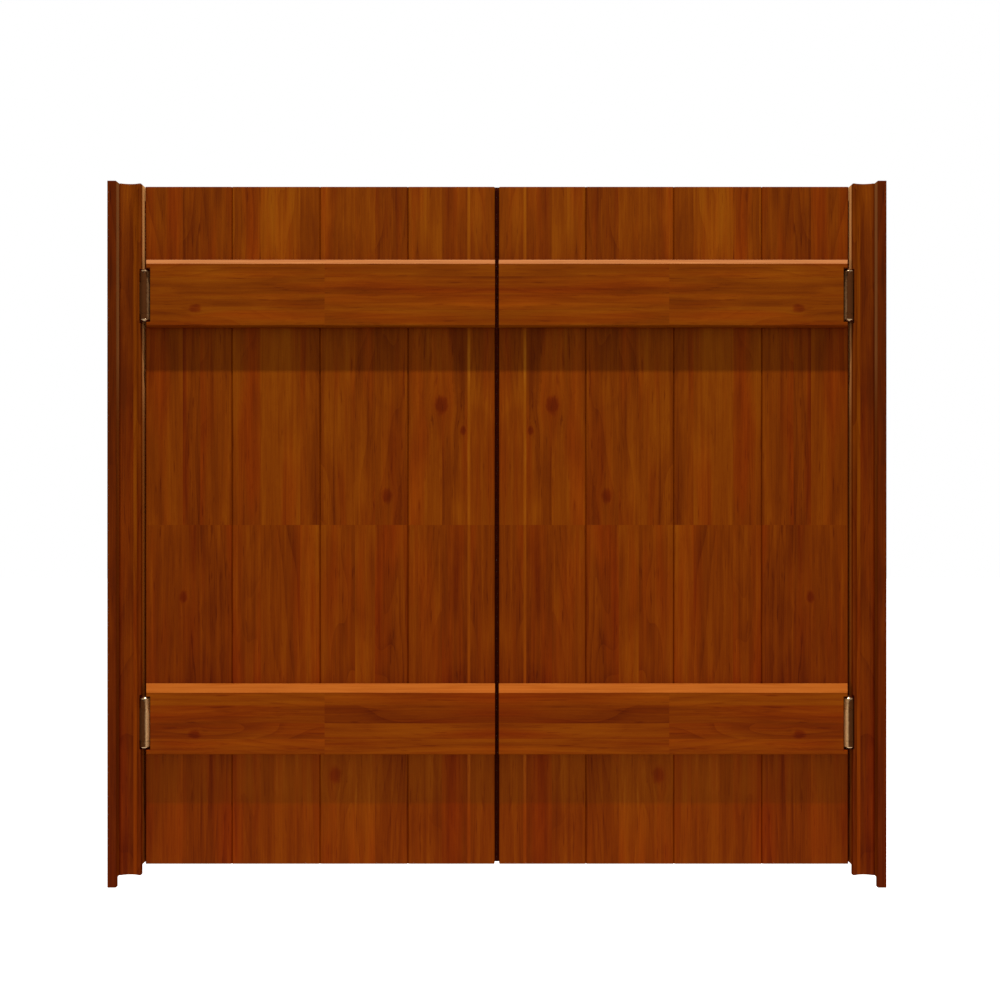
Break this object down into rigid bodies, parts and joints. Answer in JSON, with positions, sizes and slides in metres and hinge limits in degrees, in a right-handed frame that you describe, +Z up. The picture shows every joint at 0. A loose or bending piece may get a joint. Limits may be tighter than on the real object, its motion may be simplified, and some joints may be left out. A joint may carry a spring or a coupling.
{
  "type": "pair of cafe swinging doors",
  "caption": "Waist-to-shoulder pair of ledged plank doors on double-action spring hinges, with jamb boards to screw into a doorway; each swings both ways and closes by itself.",
  "frame": {"origin": "middle of the doorway, level with the feet of the jamb boards, in the mid-plane of the door planks", "axes": "+X across the doorway from the left jamb to the right one, +Y through the doorway away from the side that the ledges face, +Z up"},
  "size_m": [1.106, 0.064, 1.003],
  "materials": {
    "planks": "reddish-brown stain under satin varnish, vertical grain",
    "ledges": "reddish-brown stain under satin varnish, horizontal grain",
    "hanging_strips": "reddish-brown stain under satin varnish, vertical grain",
    "jamb_boards": "reddish-brown stain under satin varnish, vertical grain",
    "hinge_leaves": "brushed antique brass",
    "hinge_links": "brushed antique brass",
    "hinge_caps": "polished antique brass",
    "leaf_screws": "satin antique brass",
    "wood_screws": "zinc plated",
    "pin_steel": "ground, oiled",
    "spring_steel": "drawn spring wire, oiled",
    "bush_plastic": "moulded nylon",
    "brush_pile": "dark brown nylon pile"
  },
  "bodies": {
    "frame": {"left_jamb_board": "jamb_boards", "left_hanging_strip": "hanging_strips", "left_strip_screws": "wood_screws", "left_lower_jamb_leaf": "hinge_leaves", "left_upper_jamb_leaf": "hinge_leaves", "left_jamb_bushes": "bush_plastic", "left_jamb_leaf_screws": "leaf_screws", "right_jamb_board": "jamb_boards", "right_hanging_strip": "hanging_strips", "right_strip_screws": "wood_screws", "right_lower_jamb_leaf": "hinge_leaves", "right_upper_jamb_leaf": "hinge_leaves", "right_jamb_bushes": "bush_plastic", "right_jamb_leaf_screws": "leaf_screws"},
    "left_links": {"left_lower_link_plate": "hinge_links", "left_upper_link_plate": "hinge_links", "left_hinge_pins": "pin_steel", "left_hinge_springs": "spring_steel", "left_tension_collars": "hinge_caps", "left_barrel_tips": "hinge_caps"},
    "left_door": {"left_plank_1": "planks", "left_plank_2": "planks", "left_plank_3": "planks", "left_plank_4": "planks", "left_lower_rail": "ledges", "left_upper_rail": "ledges", "left_rail_screws": "wood_screws", "left_meeting_seal": "brush_pile", "left_lower_door_leaf": "hinge_leaves", "left_upper_door_leaf": "hinge_leaves", "left_door_bushes": "bush_plastic", "left_door_leaf_screws": "leaf_screws"},
    "right_links": {"right_lower_link_plate": "hinge_links", "right_upper_link_plate": "hinge_links", "right_hinge_pins": "pin_steel", "right_hinge_springs": "spring_steel", "right_tension_collars": "hinge_caps", "right_barrel_tips": "hinge_caps"},
    "right_door": {"right_plank_1": "planks", "right_plank_2": "planks", "right_plank_3": "planks", "right_plank_4": "planks", "right_lower_rail": "ledges", "right_upper_rail": "ledges", "right_rail_screws": "wood_screws", "right_meeting_seal": "brush_pile", "right_lower_door_leaf": "hinge_leaves", "right_upper_door_leaf": "hinge_leaves", "right_door_bushes": "bush_plastic", "right_door_leaf_screws": "leaf_screws"}
  },
  "joints": [
    {"name": "left_front_swing", "type": "hinge", "parent": "frame", "child": "left_links", "pos_m": [-0.503, -0.0195, 0.537], "axis": [0, 0, -1], "range_deg": [0, 90], "stiffness_Nm_per_rad": 3, "springref_deg": -20.05},
    {"name": "left_back_swing", "type": "hinge", "parent": "left_links", "child": "left_door", "pos_m": [-0.503, 0.0195, 0.537], "axis": [0, 0, -1], "range_deg": [-90, 0], "stiffness_Nm_per_rad": 3, "springref_deg": 20.05},
    {"name": "right_back_swing", "type": "hinge", "parent": "frame", "child": "right_links", "pos_m": [0.503, 0.0195, 0.537], "axis": [0, 0, 1], "range_deg": [-90, 0], "stiffness_Nm_per_rad": 3, "springref_deg": 20.05},
    {"name": "right_front_swing", "type": "hinge", "parent": "right_links", "child": "right_door", "pos_m": [0.503, -0.0195, 0.537], "axis": [0, 0, 1], "range_deg": [0, 90], "stiffness_Nm_per_rad": 3, "springref_deg": -20.05}
  ]
}
